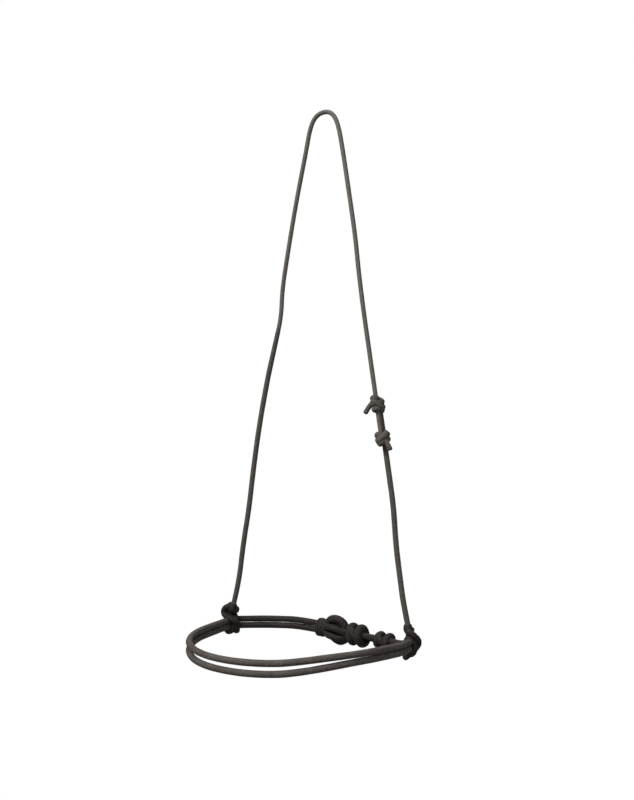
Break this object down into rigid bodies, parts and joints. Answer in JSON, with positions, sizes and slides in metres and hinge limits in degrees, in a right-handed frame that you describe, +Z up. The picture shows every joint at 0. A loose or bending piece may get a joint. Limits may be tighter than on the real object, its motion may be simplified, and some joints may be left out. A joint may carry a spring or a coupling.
{
  "type": "rope halter noseband",
  "caption": "Rope noseband for a horse on a single-rope headpiece, with sliding adjusting knots at one cheek and a looped, knotted chin closure.",
  "frame": {"origin": "underside of the crown rope at the top of the headpiece, where it rests behind the ears", "axes": "+Z up along the headpiece, +X from the plain cheek to the cheek with the adjusting knots, the nose rope goes out towards -Y"},
  "size_m": [0.2417, 0.182, 0.5812],
  "materials": {
    "crown_rope": "thin round braided cord, charcoal with a slight grey wear on the ridges",
    "cheek_rope": "firm braided polyester rope, brown-black, fine rib, low sheen",
    "noseband_rope": "stiff braided polyester rope, brown-black, tight sheath, low sheen",
    "adjusting_knots": "the same braid pulled tight in small knots, tail ends sealed by heat",
    "noseband_knots": "the same braid wrapped and drawn tight in barrel knots",
    "rope_core": "parallel yarn core, hidden inside the braided sheath"
  },
  "bodies": {
    "headpiece": {"crown_rope": "crown_rope", "crown_rope_core": "rope_core", "left_cheek_rope": "cheek_rope", "left_cheek_rope_core": "rope_core", "left_splice": "cheek_rope", "right_cheek_rope": "cheek_rope", "right_cheek_rope_core": "rope_core"},
    "noseband": {"chin_collar_knot": "noseband_knots", "chin_eye_loop": "noseband_rope", "chin_eye_loop_core": "rope_core", "chin_left_lower_rope": "noseband_rope", "chin_left_lower_rope_core": "rope_core", "chin_left_upper_rope": "noseband_rope", "chin_left_upper_rope_core": "rope_core", "chin_link_loop": "noseband_rope", "chin_link_loop_core": "rope_core", "chin_right_back_rope": "noseband_rope", "chin_right_back_rope_core": "rope_core", "chin_right_front_rope": "noseband_rope", "chin_right_front_rope_core": "rope_core", "inner_barrel_knot": "noseband_knots", "left_cheek_knot": "noseband_knots", "nose_lower_rope": "noseband_rope", "nose_lower_rope_core": "rope_core", "nose_upper_rope": "noseband_rope", "nose_upper_rope_core": "rope_core", "right_cheek_knot": "noseband_knots"},
    "upper_knot": {"upper_adjusting_knot": "adjusting_knots", "upper_knot_tail": "adjusting_knots"},
    "lower_knot": {"lower_adjusting_knot": "adjusting_knots", "lower_knot_tail": "adjusting_knots"},
    "outer_barrel": {"outer_barrel_knot": "noseband_knots"}
  },
  "joints": [
    {"name": "noseband_swing", "type": "hinge", "parent": "headpiece", "child": "noseband", "pos_m": [0, 0, -0.5445], "axis": [1, 0, 0], "range_deg": [-35, 80]},
    {"name": "upper_knot_slide", "type": "slide", "parent": "headpiece", "child": "upper_knot", "axis": [-0.1537, 0, 0.9881], "range_m": [-0.006, 0.008]},
    {"name": "lower_knot_slide", "type": "slide", "parent": "headpiece", "child": "lower_knot", "axis": [-0.1537, 0, 0.9881], "range_m": [-0.008, 0.006]},
    {"name": "outer_barrel_slide", "type": "slide", "parent": "noseband", "child": "outer_barrel", "axis": [0.9859, -0.1643, -0.0304], "range_m": [-0.0075, 0.004]}
  ],
  "couplings": [
    {"joint": "lower_knot_slide", "follows": "upper_knot_slide", "ratio": -1}
  ]
}
